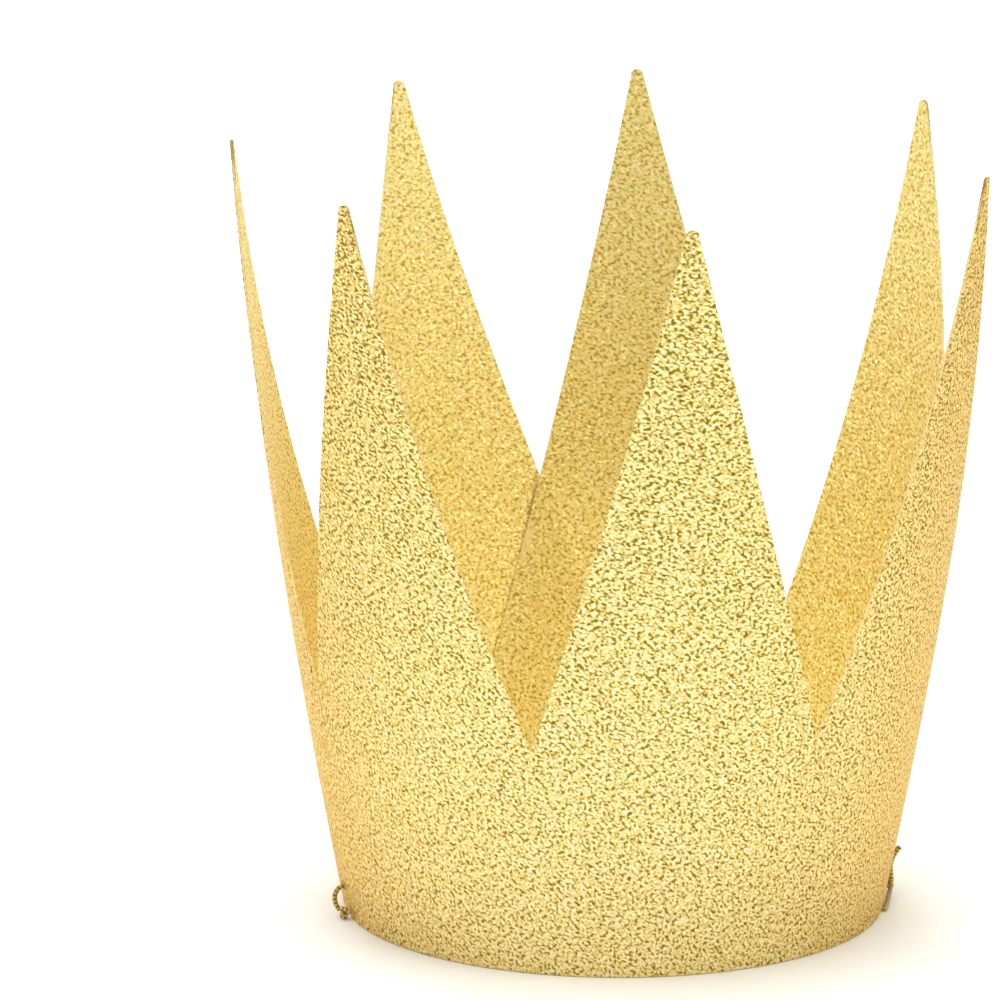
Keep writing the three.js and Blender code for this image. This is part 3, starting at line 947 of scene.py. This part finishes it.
for node, piece in card_pieces.items():
    layer = next(key for key in finishes if node.endswith(key))
    piece.data.materials.append(finishes[layer])
    if node.startswith("band"):
        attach(piece, "band")
    else:
        body = node.removesuffix("_" + layer)
        index = POINTS.index(body.removeprefix("point_"))
        low = card_point(FLEX_SLANT - BEND_REACH, MIDDLES[index], index, 0)
        high = card_point(FLEX_SLANT + BEND_REACH, MIDDLES[index], index, 0)
        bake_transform(piece)
    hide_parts(node)
print("pieces joined:", len(card_pieces))

# %% [markdown]
# ## Floor, backdrop and soft light
#
# The crown stands on a pale sweep of paper that curves up behind it, so no horizon shows. Large
# soft lights from the left, the right and above keep the shadows faint, and leave the flakes
# something bright and something darker to mirror. A fourth one lights the paper behind.

# %% Sweep
SWEEP_WIDTH = 9.0
SWEEP_FRONT = -4.0
SWEEP_BACK = 2.2
SWEEP_BEND = 1.2
SWEEP_HEIGHT = 4.5
SWEEP_STEPS = 24


def paper_sweep():
    """A profile carried sideways: flat floor, a quarter circle, and a straight wall."""
    turn = np.linspace(0, np.pi / 2, SWEEP_STEPS)
    bend_y = SWEEP_BACK + SWEEP_BEND * np.sin(turn)
    bend_z = SWEEP_BEND * (1 - np.cos(turn))
    y = np.concatenate([[SWEEP_FRONT], bend_y, bend_y[-1:]])
    z = np.concatenate([[0], bend_z, [SWEEP_HEIGHT]])
    x = np.array([-SWEEP_WIDTH / 2, SWEEP_WIDTH / 2])
    points = np.stack(np.broadcast_arrays(x[None, :], y[:, None], z[:, None]), -1).reshape(-1, 3)
    sweep = make_piece("paper_sweep", points, [grid_faces(len(y), 2)])
    material, tree, shader = new_material("pale_paper")
    place = add_node(tree, "ShaderNodeTexCoord").outputs["Object"]
    grain = add_node(tree, "ShaderNodeTexNoise", {"Vector": place, "Scale": 60, "Detail": 4})
    colour = colour_stops(tree, grain.outputs[0], [(0.3, (0.90, 0.90, 0.90)), (0.7, (0.93, 0.93, 0.93))])
    tree.links.new(colour, shader.inputs["Base Color"])
    shader.inputs["Roughness"].default_value = 0.9
    sweep.data.materials.append(material)
    sweep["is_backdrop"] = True
    return sweep


paper_sweep()

# %% Lights
LIGHTS = {
    "left_softbox": dict(place=(-1.73, 0.0, 1.25), size=1.3, power=12, colour=(1.0, 0.93, 0.80)),
    "right_softbox": dict(place=(1.32, -1.12, 1.25), size=1.3, power=11.5, colour=(1.0, 0.93, 0.70)),
    "overhead_softbox": dict(place=(0.0, -0.3, 2.4), size=1.6, power=38),
}
BACKDROP_LIGHT = dict(place=(0.0, 1.2, 3.2), size=1.6, power=90)
BACKDROP_AIM = (0.0, 3.4, 0.8)
SKY_COLOUR = (0.98, 0.99, 1.0, 1)
SKY_STRENGTH = 0.45


def soft_light(name, place, size, power, aim=WATCHED, colour=(1, 1, 1)):
    """A square area light aimed at the middle of the crown, or somewhere else."""
    data = bpy.data.lights.new(name, "AREA")
    data.size = size
    data.energy = power
    data.color = colour
    light = bpy.data.objects.new(name, data)
    light.location = place
    light.rotation_mode = "QUATERNION"
    light.rotation_quaternion = Vector(np.array(aim) - np.array(place)).to_track_quat("-Z", "Y")
    bpy.context.scene.collection.objects.link(light)
    return light


for name, setup in LIGHTS.items():
    soft_light(name, **setup)
soft_light("backdrop_light", **BACKDROP_LIGHT, aim=BACKDROP_AIM)
world = bpy.data.worlds.new("studio")
world.use_nodes = True
sky = world.node_tree.nodes["Background"]
sky.inputs["Color"].default_value = SKY_COLOUR
sky.inputs["Strength"].default_value = SKY_STRENGTH
bpy.context.scene.world = world
bpy.context.scene.view_settings.view_transform = "Standard"
print("lights:", ", ".join(LIGHTS))

# %% [markdown]
# ## The size against the CAD model
#
# The gap between each corner of the visible model's box and the CAD model's box is printed in millimetres.
# The visible model has to stay in the CAD model's box.

# %% Sizes
seen_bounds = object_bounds()
for corner in range(2):
    gap = (np.array(seen_bounds[corner]) - np.array(cad_bounds[corner])) * 1000
    print("visual minus CAD corner, mm:", np.round(gap, 2))
